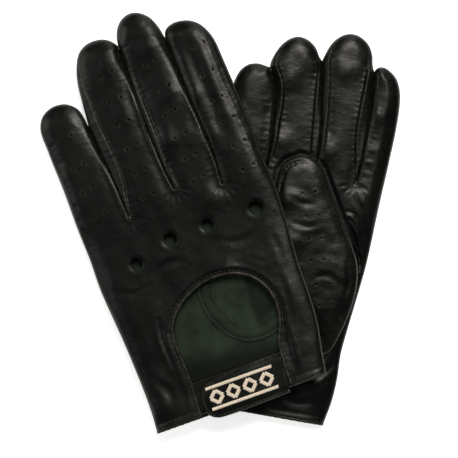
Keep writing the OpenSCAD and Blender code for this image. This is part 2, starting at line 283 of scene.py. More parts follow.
def tessellate(loop, holes, lines, pitch, rows):
    """Triangles that fill a loop, less its holes, with extra rows of points beside some lines."""
    points, edges = [], []
    for chain, closed in [(c, True) for c in (loop, *holes)] + [(c, False) for c in lines]:
        first, last = len(points), len(points) + len(chain) - 1
        points.extend(chain)
        edges += [(i, i + 1) for i in range(first, last)] + [(last, first)] * closed
    fixed = np.array(points)
    extra = np.empty((0, 2))
    for line, gaps in rows:
        beside = np.vstack([line + normals_of(line) * k * s for k in gaps for s in (1, -1)])
        beside = beside[inside(beside, loop)]
        extra = np.vstack([extra, apart(beside, np.vstack([fixed, extra]), 0.3)])
    lo, hi = loop.min(0), loop.max(0)
    xs = np.arange(lo[0], hi[0], pitch)
    ys = np.arange(lo[1], hi[1], pitch * 0.866)
    grid = np.array([(x + (j % 2) * pitch / 2, y) for j, y in enumerate(ys) for x in xs])
    grid = grid[inside(grid, loop)]
    for h in holes:
        grid = grid[~inside(grid, h)]
        extra = extra[~inside(extra, h)]
    grid = apart(grid, np.vstack([fixed, extra]), pitch * 0.6)
    everything = [Vector(p) for p in np.vstack([fixed, extra, grid])]
    verts, _, faces, *_ = delaunay_2d_cdt(everything, edges, [], 0, 1e-5)
    verts, faces = np.array([tuple(v) for v in verts]), np.array(faces)
    middle = verts[faces].mean(1)
    keep = inside(middle, loop)
    for h in holes:
        keep &= ~inside(middle, h)
    return verts, faces[keep]


# ---- places

JOINTS = {j["name"]: j for j in frame["joints"]}


def glove_frame(side):
    """Origin and axes of a glove, from its joints: the strap's runs along Y and the thumb's along Z."""
    swing, strap = JOINTS[f"{side}_thumb_swing"], JOINTS[f"{side}_strap_open"]
    turn = 1 if side == "left" else -1
    y = np.array(strap["axis"]) * turn
    z = -np.array(swing["axis"]) * turn
    x = np.cross(y, z) * turn
    x, y, z = (v / length_of(v) for v in (x, y, z))
    axes = np.column_stack([x, y, z])
    origin = np.array(swing["pos_m"]) / MM - axes @ THUMB_PIVOT
    return origin, axes


PLACES = {side: glove_frame(side) for side in ("left", "right")}


# Beyond the glove below, the left glove sinks toward the table: from where, which way, how far
# and over what distance
SINK_FROM = (-48, 22)
SINK_ALONG = (-0.867, 0.498)
SINK = 4.4
SINK_REACH = 88


def place(side, p):
    """Points in a glove's frame, in millimetres, as points of the model in metres."""
    origin, axes = PLACES[side]
    p = np.asarray(p, float)
    out = origin + p @ axes.T
    if side == "left":
        out[:, 2] -= SINK * smooth((p[:, :2] - SINK_FROM) @ SINK_ALONG, 0, SINK_REACH)
    return out * MM


# How each glove is turned, seen from above. The outlines are drawn as they look from there.
TURNS = {"left": 20, "right": -10}


def laid(side, points, height):
    """Places drawn as seen from straight above, in the glove's own tilted plane at that height."""
    axes, turn = PLACES[side][1], math.radians(TURNS[side])
    spin = np.array([[math.cos(turn), -math.sin(turn)], [math.sin(turn), math.cos(turn)]])
    lift = axes[:2, 2] * height if side == "left" else np.zeros(2)
    return np.linalg.solve(axes[:2, :2], spin @ np.asarray(points, float).T - lift[:, None]).T


# ---- pieces

def vertex_normals(verts, faces):
    """Unit normals of a triangle mesh's vertices."""
    a, b, c = (verts[faces[:, k]] for k in range(3))
    flat = np.cross(b - a, c - a)
    out = np.zeros_like(verts)
    for k in range(3):
        np.add.at(out, faces[:, k], flat)
    return unit(out)


def sharpen(mesh, tags):
    """Hard edges where a sheet's outer face, inner face and rim meet."""
    edges = np.empty(len(mesh.loops), int)
    mesh.loops.foreach_get("edge_index", edges)
    low, high = np.full(len(mesh.edges), 9), np.full(len(mesh.edges), -1)
    np.minimum.at(low, edges, tags)
    np.maximum.at(high, edges, tags)
    mesh.edges.foreach_set("use_edge_sharp", low != high)


def put(name, data):
    """A new object in the scene."""
    obj = bpy.data.objects.new(name, data)
    bpy.context.collection.objects.link(obj)
    return obj


def piece(side, name, mesh_parts, materials, node, body, tags=None, wear_and_highlight=None, painted_shade=None):
    """A mesh in its place on a glove, with its materials, that stands for the CAD node named."""
    verts, faces = mesh_parts
    name = f"{side}_{name}"
    # The right glove's frame is mirrored, so its faces turn over
    turn = 1 if side == "left" else -1
    mesh = bpy.data.meshes.new(name)
    mesh.from_pydata([tuple(v) for v in place(side, verts)], [], [tuple(map(int, f))[::turn] for f in faces])
    mesh.polygons.foreach_set("use_smooth", [True] * len(mesh.polygons))
    for m in materials:
        mesh.materials.append(m)
    if tags is not None:
        mesh.polygons.foreach_set("material_index", [int(t) for t in tags])
        sharpen(mesh, np.repeat(tags, [len(f) for f in faces]))
    for label, values in (("wear_and_highlight", wear_and_highlight), ("painted_shade", painted_shade)):
        if values is not None:
            attribute = mesh.attributes.new(label, "FLOAT", "POINT")
            attribute.data.foreach_set("value", np.asarray(values, np.float32))
    mesh.update()
    obj = put(name, mesh)
    if node:
        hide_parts(f"{side}_{node}")
    if body:
        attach(obj, f"{side}_{body}")
    return obj


def shell(verts, faces, normals, thick):
    """The sheet given a thickness on its inner side: vertices, faces and each face's material."""
    n = len(verts)
    sides = {(a, b): True for f in faces.tolist() for a, b in zip(f, f[1:] + f[:1])}
    rim = [(b, a, a + n, b + n) for a, b in sides if (b, a) not in sides]
    out = [tuple(f) for f in faces] + [tuple(f[::-1] + n) for f in faces] + rim
    tags = [0] * len(faces) + [1] * len(faces) + [2] * len(rim)
    return np.vstack([verts, verts - normals * thick]), out, tags


def part_of(verts, faces, *values):
    """Only the vertices that these faces use, with the faces and values to match."""
    used, index = np.unique(faces, return_inverse=True)
    return (verts[used], index.reshape(faces.shape), *(v[used] for v in values))


def sweep(path, section, sizes, up=(0, 0, 1)):
    """A section carried along a path: its first number runs to the left of the path, its second up."""
    path, section = np.asarray(path, float), np.asarray(section, float)
    along = unit(np.gradient(path, axis=0))
    left = unit(np.cross(up, along))
    rise = np.cross(along, left)
    n, m = len(path), len(section)
    cross = section[None] * sizes[:, None, None]
    verts = path[:, None] + left[:, None] * cross[..., 0:1] + rise[:, None] * cross[..., 1:2]
    faces = []
    for a in range(0, (n - 1) * m, m):
        faces += [(a + k, a + (k + 1) % m, a + m + (k + 1) % m, a + m + k) for k in range(m)]
    faces += [tuple(range(m - 1, -1, -1)), tuple((n - 1) * m + k for k in range(m))]
    return verts.reshape(-1, 3), faces


def joined(parts):
    """Several meshes as one."""
    verts, faces, first = [], [], 0
    for v, f in parts:
        verts.append(v)
        faces += [tuple(i + first for i in g) for g in f]
        first += len(v)
    return np.vstack(verts), faces


def ripples(p, across, along, seed):
    """Soft noise with waves of these lengths."""
    return np.array([noise.noise(Vector((x / across, y / along, seed))) for x, y in p])


def solid(side, name, mesh_parts, material, node, body=None, wear_and_highlight=None):
    """A closed part of a glove: its faces all turn outward."""
    obj = piece(side, name, mesh_parts, [material], node, body, wear_and_highlight=wear_and_highlight)
    work = bmesh.new()
    work.from_mesh(obj.data)
    bmesh.ops.remove_doubles(work, verts=work.verts, dist=2e-6)
    bmesh.ops.recalc_face_normals(work, faces=work.faces)
    work.to_mesh(obj.data)
    work.free()
    return obj


# ---- materials

def linear(srgb):
    """A screen colour, 0 to 255 a channel, as shader values."""
    return [((c / 255 + 0.055) / 1.055) ** 2.4 if c > 10 else c / 255 / 12.92 for c in srgb] + [1]


class Finish:
    """A procedural material: colour and roughness mixed by noise, and layers of bump."""

    def __init__(self, name, **values):
        self.mat = bpy.data.materials.new(name)
        self.mat.use_nodes = True
        self.tree = self.mat.node_tree
        self.shader = self.tree.nodes["Principled BSDF"]
        for key, value in values.items():
            self.shader.inputs[key.replace("_", " ")].default_value = value
        self.at = self.node("TexCoord").outputs["Object"]
        self.bump = None

    def node(self, kind, **values):
        out = self.tree.nodes.new("ShaderNode" + kind)
        for key, value in values.items():
            out.inputs[key].default_value = value
        return out

    def link(self, a, b):
        self.tree.links.new(a, b)

    def noise(self, scale, detail=3.0, stretch=None, rough=0.5):
        out = self.node("TexNoise", Scale=scale, Detail=detail, Roughness=rough)
        self.link(self.stretched(stretch), out.inputs["Vector"])
        return out.outputs["Fac"]

    def cells(self, scale, feature="DISTANCE_TO_EDGE"):
        out = self.node("TexVoronoi", Scale=scale)
        out.feature = feature
        self.link(self.at, out.inputs["Vector"])
        return out.outputs["Distance"]

    def stretched(self, stretch):
        if stretch is None:
            return self.at
        out = self.node("Mapping")
        out.inputs["Scale"].default_value = stretch[:3]
        out.inputs["Rotation"].default_value = (0, 0, math.radians(stretch[3]))
        self.link(self.at, out.inputs["Vector"])
        return out.outputs["Vector"]

    def between(self, value, lo, hi, a=0, b=1):
        """The value from lo to hi spread over a to b."""
        out = self.node("MapRange")
        for k, v in zip(("From Min", "From Max", "To Min", "To Max"), (lo, hi, a, b)):
            out.inputs[k].default_value = v
        self.link(value, out.inputs["Value"])
        return out.outputs["Result"]

    def mix(self, fac, a, b):
        """Two colours mixed, each a screen colour or another node's output."""
        out = self.node("Mix")
        out.data_type = "RGBA"
        self.link(fac, out.inputs["Factor"])
        for socket, value in ((out.inputs[6], a), (out.inputs[7], b)):
            if isinstance(value, tuple):
                socket.default_value = linear(value)
            else:
                self.link(value, socket)
        return out.outputs[2]

    def maths(self, kind, a, b):
        out = self.node("Math")
        out.operation = kind
        self.link(a, out.inputs[0])
        self.link(b, out.inputs[1])
        return out.outputs[0]

    def tag(self, label):
        """A value that the mesh carries at its vertices."""
        out = self.node("Attribute")
        out.attribute_name = label
        return out.outputs["Fac"]

    def add_bump(self, height, depth, strength):
        out = self.node("Bump", Distance=depth, Strength=strength)
        self.link(height, out.inputs["Height"])
        if self.bump is not None:
            self.link(self.bump, out.inputs["Normal"])
        self.bump = out.outputs["Normal"]

    def done(self, colour, rough=None):
        self.link(colour, self.shader.inputs["Base Color"])
        if rough is not None:
            self.link(rough, self.shader.inputs["Roughness"])
        if self.bump is not None:
            self.link(self.bump, self.shader.inputs["Normal"])
        return self.mat


def grained_leather(name, dark, light, worn_and_lit, rough=(0.27, 0.38)):
    f = Finish(name, Specular_IOR_Level=0.23)
    colour = f.mix(f.between(f.noise(70, 4), 0.35, 0.7), dark, light)
    # Partly wear, partly painted highlight: the vertex mask, broken up by noise, lightens the leather along
    # edges, seams, rims and rolled bindings where light glints
    patchy = f.between(f.noise(420, 2), 0.4, 0.65, 0.1, 0.75)
    colour = f.mix(f.maths("MULTIPLY", f.tag("wear_and_highlight"), patchy), colour, worn_and_lit)
    roughness = f.between(f.noise(160, 5), 0.3, 0.7, *rough)
    f.add_bump(f.noise(260, 3, (1, 2.0, 1, 20)), 0.00035, 0.24)
    f.add_bump(f.cells(1250), 0.00009, 0.55)
    f.add_bump(f.noise(2600, 2), 0.00004, 0.5)
    return f.done(colour, roughness)


def brushed_suede(name, dark, light):
    f = Finish(name, Specular_IOR_Level=0.15, Sheen_Weight=0.35, Sheen_Roughness=0.6)
    f.shader.inputs["Sheen Tint"].default_value = linear((84, 100, 86))
    nap = f.noise(900, 5, (1, 3, 1, 35), 0.65)
    colour = f.mix(f.between(f.maths("ADD", nap, f.noise(90, 4)), 0.75, 1.25), dark, light)
    # Painted shade: the suede is darkened toward near black where the mesh carries painted shade
    colour = f.mix(f.tag("painted_shade"), colour, (9, 12, 10))
    f.add_bump(nap, 0.00025, 0.7)
    f.add_bump(f.noise(3200, 2), 0.00006, 0.6)
    return f.done(colour, f.between(nap, 0.3, 0.7, 0.82, 0.98))


def spun_thread(name, dark, light, twist=1500):
    f = Finish(name, Specular_IOR_Level=0.35, Sheen_Weight=0.25)
    strand = f.noise(twist, 3, (1, 1, 1, 0), 0.6)
    colour = f.mix(f.between(strand, 0.3, 0.7), dark, light)
    f.add_bump(strand, 0.00008, 0.6)
    return f.done(colour, f.between(strand, 0.3, 0.7, 0.5, 0.75))


def woven_tape(name, dark, light):
    f = Finish(name, Specular_IOR_Level=0.3, Sheen_Weight=0.2)
    knit = f.cells(1500, feature="F1")
    colour = f.mix(f.between(knit, 0.1, 0.6), light, dark)
    f.add_bump(knit, 0.0003, 0.8)
    f.add_bump(f.noise(4000, 2), 0.00008, 0.5)
    return f.done(colour, f.between(f.noise(300, 2), 0.3, 0.7, 0.55, 0.8))


BLACK = grained_leather("leather_black", (3, 4, 3), (6, 7, 5), (46, 43, 37))
SIDE = grained_leather("leather_side", (3, 4, 3), (7, 8, 6), (48, 45, 38), (0.36, 0.48))
TRIM = grained_leather("leather_binding", (4, 4, 3), (9, 8, 7), (62, 56, 48), (0.36, 0.5))
CUT = grained_leather("leather_cut_edge", (6, 6, 5), (14, 13, 11), (30, 28, 24), (0.7, 0.85))
SUEDE = brushed_suede("suede_green", (22, 30, 22), (46, 56, 45))
THREAD = spun_thread("thread_black", (9, 9, 8), (28, 26, 23))
CREAM = spun_thread("thread_cream", (206, 188, 168), (246, 232, 216), 1900)
TAPE = woven_tape("fastening_tape", (8, 8, 8), (38, 38, 38))
SHELL = [BLACK, SUEDE, CUT]


# ---- the hand's two sheets

# Folds in the leather: points along each, width, depth
CREASES = {
    ("left", "back"): [
        ([(47.4, 66), (48.6, 52), (46, 38), (43, 26)], 1.8, 0.22),
        ([(39.6, 32), (38.4, 17), (38, 1)], 2.2, 0.8),
        ([(43.4, 54), (42.6, 42), (41, 30), (39.4, 16)], 1.6, 0.4),
        ([(42.2, 208), (43.4, 190), (44.4, 170), (45.4, 146)], 3.6, 0.8),
        ([(36, 214.6), (43, 216.4), (49, 213), (52.3, 207), (53.8, 196), (54.6, 180), (56.2, 160),
          (57.4, 140), (57.8, 118)], 0.8, -0.3),
        ([(-27.4, 61), (-29.2, 48), (-28.6, 33)], 1.3, 0.6),
        ([(-42, 30), (-36, 17), (-40, 6)], 2.4, 0.35),
        ([(-46, 84), (-36, 80), (-26, 82)], 1.8, 0.3),
        ([(22, 92), (32, 88), (44, 90)], 2.2, 0.3),
        ([(51, 88), (53, 76), (52.4, 64)], 1.8, 0.14),
        ([(-20, 86), (-12, 90), (-2, 88)], 2, 0.28),
        ([(36, 76), (43, 72), (50, 74)], 1.4, 0.14),
    ],
    ("left", "palm"): [
        ([(27, 66), (25.4, 54), (25.4, 46), (26.4, 40)], 2.0, 2.6),
        ([(26.4, 40), (32, 41.6), (38, 42)], 1.8, 2.2),
        ([(-14, 62), (-8, 48), (-10, 30)], 3, 0.3),
    ],
    ("right", "palm"): [
        ([(52.6, 42), (48, 31), (38, 24), (26, 22)], 1.6, 0.4),
        ([(40, 34), (30, 30), (18, 31)], 1.8, 0.4),
        ([(44, 12), (34, 9), (22, 11)], 2, 0.35),
        ([(43.4, 119), (46.4, 115.6), (49, 111.6), (51.4, 107), (53.4, 102.4), (55.2, 97), (57, 89)],
         1.0, 2.6),
        ([(41.4, 121), (44, 122.6), (47, 121.8), (50.4, 117.2), (53, 111)], 1.0, -1.1),
        ([(58, 112), (54, 124), (46, 133)], 1.6, 0.45),
    ],
}

# Where the leather swells softly: middle, radius, height
PUFFS = {
    ("left", "back"): [
        (-5, 211, 7.5, 1.1), (20.5, 213, 7.5, 1.1), (12.5, 157.5, 7.5, 1.5), (24, 183, 6, 0.8),
        (36, 176, 6, 0.7), (35.5, 152, 7, 0.8), (19, 77, 8, 1.3), (25, 117.5, 7.5, 1.0), (-43, 11, 8, 0.9),
        (-6, 180, 8, 0.7), (-42, 178, 7, 0.6),
    ],
    ("right", "palm"): [
        (24.5, 158, 7.5, 1.3), (-3.5, 158, 6.5, 1.1), (50, 183, 5.5, 1.0), (-4.5, 194, 6.5, 0.8),
        (28, 206, 7, 0.8), (52, 163, 2.8, 0.45), (50.4, 155.5, 2.5, 0.35), (49.6, 149, 2.4, 0.4),
        (48.4, 143, 2.5, 0.35), (44, 20, 8, 0.7), (32, 136, 5, 0.5),
    ],
}


def finger_edges(side):
    """Each finger's edge, going up its little-finger side and down the other."""
    forks = [resample(spline(f), 4.0) for f in FORK_LINES[side]]
    out = []
    for k, points in enumerate(EDGES[side]):
        if k > 0:
            points = [(x + SLIT, y) for x, y in forks[k - 1][::-1]] + points
        if k < 3:
            points = points + [(x - SLIT, y) for x, y in forks[k]]
        out.append(laid(side, spline(points), MID))
    for line in out:
        line[:, 1] = np.maximum(line[:, 1], 0)
    return out


def side_strips(side, face, fingers):
    """For each side of each fork: fork number, the seam, and the outline of the strip beside it."""
    out = []
    for k, widths in enumerate(STRIPS.get((side, face), HIDDEN_STRIPS)):
        for after, (width, widest) in enumerate(widths):
            edge = fingers[k + 1] if after else fingers[k][::-1]
            inward = -normals_of(edge) if after else normals_of(edge)
            count = int(np.argmax(edge[:, 1] > edge[:, 1].max() - 5)) + 1
            t = np.linspace(0, 1, count)
            bulge = width * np.minimum(smooth(t, 0, widest), 1 - smooth(t, widest, 1)) ** 0.5
            seam = edge[:count] + inward[:count] * bulge[:, None]
            for _ in range(40):
                seam[1:-1] = (seam[:-2] + 2 * seam[1:-1] + seam[2:]) / 4
            out.append((k, seam, np.vstack([edge[:count], seam[::-1]])))
    return out


def drawn(creases):
    """A table of creases with their lines drawn out."""
    return [(spline(points, 1.5), width, depth) for points, width, depth in creases]


def gathers(fork, k):
    """Short creases that fan out below a fork."""
    out = []
    for i, turn in enumerate((-68, -42, -16, 12, 40, 66)):
        a = math.radians(turn)
        reach = 8 + 5 * ((i * 7 + k * 3) % 4) / 3
        away = np.array([math.sin(a), -math.cos(a)])
        line = np.array([fork[-1] + away * r for r in (1.4, reach / 2, reach)])
        out.append((resample(line, 1.5), 0.8, 0.22))
    return out


def make_sheet(side, face):
    """All that shapes one face of a hand."""
    fingers = finger_edges(side)
    edge = np.vstack(fingers)
    hem = lambda a, b: resample(np.array([a, b], float), 1.2)[1:-1]
    s = SimpleNamespace(side=side, face=face, edge=edge, up=UP_FACE[side] == face)
    s.turn = 1 if face == "back" else -1
    s.strips = side_strips(side, face, fingers)
    s.holes = []
    s.punched = []
    s.thumb = spline(THUMB_EDGE, 1.5, closed=True)
    s.opening = laid(side, spline(OPENING, 0.9), HAND_T)
    s.opening[:, 1] = np.maximum(s.opening[:, 1] - s.opening[[0, -1], 1].min(), 0)
    s.opening[[0, -1], 1] = 0
    s.knuckles = [(*laid(side, [k[:2]], HAND_T)[0], k[2]) for k in KNUCKLES]
    s.forks = [laid(side, spline(f), MID) for f in FORK_LINES[side]]
    if face == "back":
        opening = s.opening
        s.loop = np.vstack([edge, hem(edge[-1], opening[0]), opening, hem(opening[-1], edge[0])])
        s.holes = [ring(*k, 28) for k in s.knuckles]
        for x, y in laid(side, ROWS[side], HAND_T):
            for turn in (-1, 1):
                at = (x + turn * PAIR_GAP / 2, y + turn * 0.5)
                s.punched.append(at)
                s.holes.append(ring(*at, PERFORATION_R, 8))
    else:
        s.loop = np.vstack([edge, hem(edge[-1], edge[0])])
    s.creases = drawn(CREASES.get((side, face), ()))
    for k, fork in enumerate(s.forks):
        s.creases += gathers(fork, k)
    return s


def bell(t):
    """1 at 0, falling smoothly to nothing by about 2."""
    return np.exp(-t**2)


def crease_section(t):
    """Section of a crease: a valley with a low ridge on either side."""
    return 0.55 * bell(t - 1.7) - bell(t)


def creased(p, creases):
    """Folds in the leather that fade out at both ends."""
    out = np.zeros(len(p))
    for line, width, depth in creases:
        far, run = nearest(p, line)
        end = np.sin(np.pi * np.clip(run / max(run.max(), 1e-6), 0.04, 0.96)) ** 0.6
        out += end * depth * crease_section(far / width)
    return out


def swollen(p, puffs):
    """Soft swellings of the leather."""
    out = np.zeros(len(p))
    for x, y, radius, high in puffs:
        out += high * bell(length_of(p - (x, y)) / radius)
    return out


def to_nearest(p, places):
    """Distance to the nearest of some places."""
    return np.min([length_of(p - at) for at in places], axis=0)


def rounding(t):
    """A rounded edge: from 0 at 0 to 1 at 1."""
    return np.sqrt(1 - (1 - np.clip(t, 0, 1)) ** 2.3)


def bulk(s, y, d, beside):
    """The plain body: rounded at its edge, and more tightly beside a fork."""
    finger = smooth(y, *TO_FINGERS)
    if s.up:
        shoulder, crown = 15 - 3.5 * finger, 4.5 + 1.0 * finger
    else:
        shoulder, crown = 8 - 1.5 * finger, 4.4
    shoulder = shoulder + (4.2 - shoulder) * beside
    return crown * rounding(d / shoulder) * (1 - 0.58 * beside * (1 - rounding(d / 12.5)))


def slack(s, p, d):
    """Soft waves, creases and swellings in the leather."""
    finger = smooth(p[:, 1], *TO_FINGERS)
    out = 0.62 * ripples(p, 26, 34, 1.3) + 0.3 * ripples(p, 10, 13, 4.7) + 0.08 * ripples(p, 3.4, 4.4, 9.1)
    out += 0.2 * finger * bell((d - 4) / 3) * ripples(p, 5.5, 1.7, 2.9) - 0.12 * (1 + finger)
    return out + creased(p, s.creases) + swollen(p, PUFFS.get((s.side, s.face), ()))


def round_holes(s, p, h, wear_and_highlight):
    """The back's leather dips at its holes and its opening, with a raised rim that is lightened for wear and
    as a painted highlight.
    """
    for x, y, r in s.knuckles:
        far = np.abs(length_of(p - (x, y)) - r)
        h += 0.1 * bell(far - 2) - 0.34 * np.exp(-far / 0.8)
        # Knuckle hole rims lightened a little: partly wear, partly painted highlight
        wear_and_highlight = np.maximum(wear_and_highlight, 0.12 * np.exp(-far / 0.5))
    far, run = nearest(p, s.opening)
    above_hem = smooth(p[:, 1], 4, 20)
    h += 0.2 * bell((far - 4.0) / 1.3) * above_hem
    h -= 0.3 * bell((far - 2.4) / 0.5) + 0.3 * np.exp(-far / 1.2)
    h += 0.05 * np.exp(-far / 4) * np.sin(1.9 * run + np.sin(run / 3)) * above_hem
    far = to_nearest(p, s.punched)
    h += 0.1 * bell((far - RIM_R) / 0.35) - 0.1 * bell(far / 0.7)
    # Perforation rims lightened: partly wear, partly painted highlight
    return h, np.maximum(wear_and_highlight, 0.5 * bell((far - RIM_R) / 0.3))


def relief(s, p):
    """How far the leather's outer face stands from the middle of the hand, and how much it is lightened by
    wear and painted highlight.
    """
    y = p[:, 1]
    d = nearest(p, s.edge)[0]
    near_forks = [nearest(p, f) for f in s.forks]
    to_fork = np.min([far for far, _ in near_forks], axis=0)
    h = bulk(s, y, d, bell((to_fork - d) / 1.5))
    add = slack(s, p, d)
    # Edges and fork sides lightened: partly wear, partly painted highlight
    wear_and_highlight = 0.35 * np.exp(-d / 1.2) + 0.3 * bell(to_fork / 0.7)
    for _, seam, _ in s.strips:
        far, run = nearest(p, seam)
        add += 0.22 * bell((far - 1.0) / 0.5) - 0.5 * bell(far / 0.45)
        add += 0.17 * np.exp(-far / 2.2) * np.sin(2 * run + 1.7 * np.sin(run / 4))
        # Painted highlight, partly wear: a light line along each side strip's seam bead
        wear_and_highlight = np.maximum(wear_and_highlight, 0.9 * bell((far - 0.7) / 0.35))
    h += smooth(d, 0.3, 4) * smooth(y, 1, 14) * (1.0 if s.up else 0.5) * add
    # Fingers that lie side by side part only near the upper face, most of all toward the fork's end
    for far, run in near_forks:
        h += (1 if s.up else -1) * 2.9 * smooth(run, 2, 48) * bell(far / 2.2)
    if s.face == "back":
        h, wear_and_highlight = round_holes(s, p, h, wear_and_highlight)
    hem = 0.22 * (1 - smooth(y, 2.4, 3.6)) - 0.35 * bell((y - 3) / 0.45)
    h += hem * smooth(d, 0.3, 2)
    # The hem's edge lightened: partly wear, partly painted highlight
    wear_and_highlight = np.maximum(wear_and_highlight, 0.5 * np.exp(-y / 1.5))
    if s.face == "palm":
        under = inside(p, s.thumb) | (nearest(p, s.thumb)[0] < 2.5)
        h = np.where(under, np.minimum(h, 4.4), h)
    if not s.up:
        h = np.minimum(h, 4.45)
    return h, wear_and_highlight


def closed_up(s, flat):
    """Fingers that lie side by side touch: their edges lean across the thin gap between them."""
    out = flat.copy()
    for fork in s.forks:
        k = length_of(flat[:, None] - fork[None]).argmin(1)
        away, normals = flat - fork[k], normals_of(fork)[k]
        rel = (away * normals).sum(1)
        reach = 0.2 * smooth(length_of(flat - fork[-1]), 0.3, 1.5)
        reach[(np.abs(rel) > 2.2 * SLIT) | (length_of(away) > 0.8)] = 0
        out -= normals * (np.sign(rel) * reach)[:, None]
    return out


def hand_sheet(s):
    """The face's shells: the panel, and the strips beside each fork."""
    seams = [seam for _, seam, _ in s.strips]
    rows = [(s.edge, (0.4, 1.0, 1.9))] + [(seam, (0.4, 0.9, 1.5)) for seam in seams]
    if s.face == "back":
        rows.append((s.opening, (0.5, 1.2)))
        rows.append((np.vstack([ring(*q, RIM_R, 10) for q in s.punched]), (0,)))
    flat, faces = tessellate(s.loop, s.holes, seams, PITCH, rows)
    h, wear_and_highlight = relief(s, flat)
    verts = np.column_stack([closed_up(s, flat), MID + s.turn * h])
    faces = faces[:, ::s.turn]
    normals = vertex_normals(verts, faces)
    middle = flat[faces].mean(1)
    owner = np.full(len(faces), -1)
    for k, _, outline in s.strips:
        owner[inside(middle, outline)] = k
    out = {}
    for k in range(-1, 3):
        v, f, n, w = part_of(verts, faces[owner == k], normals, wear_and_highlight)
        shape, quads, tags = shell(v, f, n, LEATHER)
        out[k] = (shape, quads, tags, np.r_[w, w])
    return out


# Outline of the painted shade on the suede beyond the fold at the thumb's base
FOLD_SHADE_OUTLINE = [
    (27, 68), (24.6, 54), (24.4, 46), (25.4, 39.6), (31, 41), (37, 43), (42, 52), (38, 64), (31, 70),
]


def suede_painted_shade(p):
    """Painted shade on the suede: darker by the wrist, under the strap and flap, and beyond the fold at the
    thumb's base.
    """
    fold = spline(FOLD_SHADE_OUTLINE, 1.5, closed=True)
    depth = nearest(p, np.vstack([fold, fold[:1]]))[0] * inside(p, fold)
    return np.maximum(0.9 * (1 - smooth(p[:, 1] + 0.15 * p[:, 0], 24, 35)), 0.62 * smooth(depth, 0, 2.2))


FORKS = ["little_ring", "ring_middle", "middle_index"]


def make_hand(side):
    sheets = {face: make_sheet(side, face) for face in ("back", "palm")}
    shells = {face: hand_sheet(s) for face, s in sheets.items()}
    for face in sheets:
        verts, faces, tags, wear_and_highlight = shells[face][-1]
        # The suede faces carry painted shade by the wrist and beyond the fold
        piece(side, f"{face}_leather", (verts, faces), SHELL,
              f"{face}_panel", "hand", tags, wear_and_highlight, suede_painted_shade(verts[:, :2]))
    for k, fork in enumerate(FORKS):
        back, palm = (shells[face][k] for face in sheets)
        piece(side, f"side_strip_{fork}", joined([back[:2], palm[:2]]), [SIDE, SUEDE, CUT],
              f"fourchette_{fork}", "hand", back[2] + palm[2], np.r_[back[3], palm[3]])
    return sheets


# ---- trim on the hand

# The binding's section at the opening's edge: toward the hole, and above the leather
BINDING = [
    (0.5, -0.1), (0.42, 0.24), (0.1, 0.44), (-0.3, 0.5), (-0.75, 0.4), (-1.2, 0.1), (-1.5, -0.2),
    (-1.5, -0.6), (-1.5, -1.1), (-1.1, -1.5), (-0.4, -1.6), (0.35, -1.2), (0.54, -0.6),
]
# Section of the thumb hole's seam allowance: a turned edge, a stitched dip and a flap beside it
SEAM_FLAP = [
    (-1.4, -0.3), (-1.3, 0.5), (-0.7, 1.2), (0.1, 1.35), (0.8, 1.0), (1.4, 0.8), (2.4, 1.0), (4.0, 1.3),
    (5.4, 1.5), (6.1, 1.2), (6.3, -0.3), (3.0, -0.5), (0, -0.5),
]
# Painted shade on the seam flap, one value a section point: dark at its outer edge, in its stitched dip and
# at its inner edge
FLAP_PAINTED_SHADE = [1, 0.6, 0, 0, 0.5, 0.8, 0.1, 0, 0, 0.5, 1, 1, 1]


def stitches(path, pitch=3.0, length=2.2, r=THREAD_R, turn=1):
    """Single stitches along a path, each arched and sunk at its ends."""
    t = np.linspace(-1, 1, 7)
    parts = []
    for middle in np.arange(pitch * 0.6, run_of(path)[-1] - pitch * 0.4, pitch):
        line = at_run(path, middle + t * length / 2)
        line[:, 2] += turn * (0.55 * r - 0.42 * t**4)
        parts.append(sweep(line, circle(6), r * (1 - 0.4 * t**6)))
    return joined(parts)


def on_face(s, flat, above=0.0):
    """Points on the leather of a face, or above it."""
    return np.column_stack([flat, MID + s.turn * (relief(s, flat)[0] + above)])


def make_opening_trim(side, back):
    path = on_face(back, back.opening)
    run = run_of(path)
    sizes = 1 + 0.03 * np.sin(1.1 * run + 2 * np.sin(run / 7))
    # Painted highlight, partly wear: the binding's upper side is lightened
    wear_and_highlight = np.tile(np.clip(np.array(BINDING)[:, 1] * 3.3 - 0.6, 0, 1), len(path))
    roll = sweep(path, BINDING, sizes)
    solid(side, "opening_edge", roll, TRIM, "opening_binding", "hand", wear_and_highlight)
    flat = back.opening - normals_of(back.opening) * 2.0
    flat = flat[flat[:, 1] > 2]
    sewn = stitches(on_face(back, flat, -0.06), 2.7, 1.9, 0.17)
    solid(side, "opening_stitches", sewn, THREAD, "opening_stitching", "hand")


